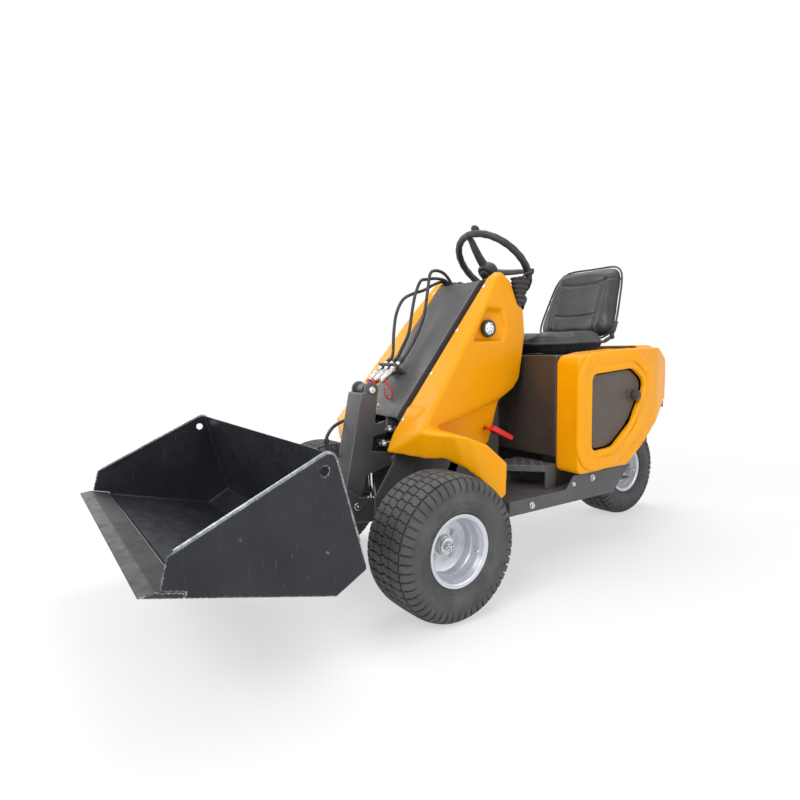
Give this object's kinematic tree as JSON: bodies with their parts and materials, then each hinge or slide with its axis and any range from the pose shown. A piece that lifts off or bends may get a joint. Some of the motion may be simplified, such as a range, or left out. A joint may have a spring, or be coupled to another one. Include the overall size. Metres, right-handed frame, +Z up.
{
  "type": "mini wheel loader",
  "caption": "Ride-on mini wheel loader with a bucket on a parallel-lift arm, driven front wheels and a steered rear wheel under the tail.",
  "frame": {"origin": "middle of the plan box, on the ground", "axes": "the machine faces -Y, +Z is up and +X is its left side"},
  "size_m": [1.096, 2.581, 1.3522],
  "materials": {
    "yellow_paint": "gloss enamel, yellow-orange",
    "charcoal_paint": "satin charcoal enamel",
    "bucket_paint": "satin blue-black enamel, worn at the edges",
    "steel": "bare zinc-plated or ground steel",
    "chrome": "hard chrome rod",
    "cast_iron": "painted casting",
    "tyre": "turf tread rubber",
    "rim_paint": "silver paint",
    "vinyl": "grained black vinyl",
    "plastic": "moulded black plastic",
    "red_paint": "red lever",
    "lens": "clear lamp lens over a silver reflector",
    "hose_rubber": "braided hydraulic hose"
  },
  "bodies": {
    "chassis": {"control_boot": "hose_rubber", "control_lever": "plastic", "dash": "plastic", "engine_block": "cast_iron", "left_cover": "yellow_paint", "left_pod": "yellow_paint", "left_step": "charcoal_paint", "left_wheel_motor": "charcoal_paint", "left_work_light": "lens", "lift_base_pin": "steel", "link_boss_left": "charcoal_paint", "link_boss_right": "charcoal_paint", "main_frame": "charcoal_paint", "rear_grille": "charcoal_paint", "rear_hood": "yellow_paint", "red_pedal": "red_paint", "right_cover": "yellow_paint", "right_pod": "yellow_paint", "right_step": "charcoal_paint", "right_wheel_motor": "charcoal_paint", "right_work_light": "lens", "seat_back": "vinyl", "seat_base": "plastic", "seat_cushion": "vinyl", "seat_mount": "charcoal_paint", "tower_left_plate": "charcoal_paint", "tower_rear_tie": "charcoal_paint", "tower_right_plate": "charcoal_paint"},
    "boom": {"boom": "charcoal_paint", "coupler_bracket": "charcoal_paint", "coupler_1": "steel", "coupler_2": "steel", "coupler_3": "steel", "hose_1": "hose_rubber", "hose_2": "hose_rubber", "hose_3": "hose_rubber"},
    "level_link": {"level_link": "charcoal_paint"},
    "leg": {"leg": "charcoal_paint"},
    "quick_attach": {"quick_attach": "charcoal_paint", "bucket_adapter": "bucket_paint", "bucket": "bucket_paint", "cutting_edge": "steel"},
    "tilt_barrel": {"tilt_barrel": "charcoal_paint"},
    "tilt_rod": {"tilt_rod": "chrome"},
    "lift_barrel": {"lift_barrel": "charcoal_paint"},
    "lift_rod": {"lift_rod": "chrome"},
    "steering_wheel": {"steering_wheel": "plastic"},
    "rear_fork": {"rear_fork": "charcoal_paint"},
    "rear_wheel": {"rear_tyre": "tyre", "rear_rim": "rim_paint", "rear_hub": "steel"},
    "front_left_wheel": {"front_left_tyre": "tyre", "front_left_rim": "rim_paint", "left_wheel_hub": "steel"},
    "front_right_wheel": {"front_right_tyre": "tyre", "front_right_rim": "rim_paint", "right_wheel_hub": "steel"},
    "left_door": {"left_door": "plastic"},
    "right_door": {"right_door": "plastic"}
  },
  "joints": [
    {"name": "boom_lift", "type": "hinge", "parent": "chassis", "child": "boom", "pos_m": [0, 0.14291, 1.092], "axis": [-1, 0, 0], "range_deg": [-12, 85], "deforming": ["hose_1", "hose_2", "hose_3"]},
    {"name": "leg_pivot", "type": "hinge", "parent": "boom", "child": "leg", "pos_m": [0, -0.33509, 0.566], "axis": [-1, 0, 0], "range_deg": [-86.7, 12.24]},
    {"name": "level_link_pivot", "type": "hinge", "parent": "chassis", "child": "level_link", "pos_m": [0, 0.15091, 0.967], "axis": [-1, 0, 0], "range_deg": [-12.24, 86.7]},
    {"name": "bucket_tilt", "type": "hinge", "parent": "leg", "child": "quick_attach", "pos_m": [0, -0.49109, 0.292], "axis": [-1, 0, 0], "range_deg": [-59, 10]},
    {"name": "tilt_barrel_pivot", "type": "hinge", "parent": "leg", "child": "tilt_barrel", "pos_m": [0, -0.41309, 0.697], "axis": [-1, 0, 0], "range_deg": [-1.07, 6.31]},
    {"name": "tilt_cylinder", "type": "slide", "parent": "tilt_barrel", "child": "tilt_rod", "axis": [0, 0.067, -0.9978], "range_m": [-0.0993, 0.01683]},
    {"name": "lift_barrel_pivot", "type": "hinge", "parent": "chassis", "child": "lift_barrel", "pos_m": [0, -0.08309, 0.346], "axis": [-1, 0, 0], "range_deg": [-4.5, 0.64]},
    {"name": "lift_cylinder", "type": "slide", "parent": "lift_barrel", "child": "lift_rod", "axis": [0, 0.1523, 0.9883], "range_m": [-0.03815, 0.27026]},
    {"name": "steering_fork", "type": "hinge", "parent": "chassis", "child": "rear_fork", "pos_m": [0, 1.06191, 0.474], "axis": [0, 0, 1], "range_deg": [-60, 60]},
    {"name": "steering_wheel_turn", "type": "hinge", "parent": "chassis", "child": "steering_wheel", "pos_m": [0, 0.22291, 1.187], "axis": [0, 0.6921, 0.7218], "range_deg": [-550, 550]},
    {"name": "rear_wheel_spin", "type": "hinge", "parent": "rear_fork", "child": "rear_wheel", "pos_m": [0, 1.06191, 0.2286], "axis": [1, 0, 0], "continuous": true},
    {"name": "front_left_wheel_spin", "type": "hinge", "parent": "chassis", "child": "front_left_wheel", "pos_m": [0.402, -0.38309, 0.2286], "axis": [1, 0, 0], "continuous": true},
    {"name": "front_right_wheel_spin", "type": "hinge", "parent": "chassis", "child": "front_right_wheel", "pos_m": [-0.402, -0.38309, 0.2286], "axis": [1, 0, 0], "continuous": true},
    {"name": "left_door_hinge", "type": "hinge", "parent": "chassis", "child": "left_door", "pos_m": [0.442, 0.28991, 0.6], "axis": [0, 0, -1], "range_deg": [0, 95]},
    {"name": "right_door_hinge", "type": "hinge", "parent": "chassis", "child": "right_door", "pos_m": [-0.442, 0.28991, 0.6], "axis": [0, 0, 1], "range_deg": [0, 95]}
  ],
  "couplings": [
    {"joint": "leg_pivot", "follows": "boom_lift", "ratio": -1},
    {"joint": "level_link_pivot", "follows": "boom_lift", "ratio": 1},
    {"joint": "lift_barrel_pivot", "follows": "boom_lift", "ratio": -0.051909},
    {"joint": "lift_cylinder", "follows": "boom_lift", "m_per_rad": 0.1786},
    {"joint": "tilt_barrel_pivot", "follows": "bucket_tilt", "ratio": -0.10486},
    {"joint": "tilt_cylinder", "follows": "bucket_tilt", "m_per_rad": 0.094538},
    {"joint": "steering_wheel_turn", "follows": "steering_fork", "ratio": -9}
  ]
}
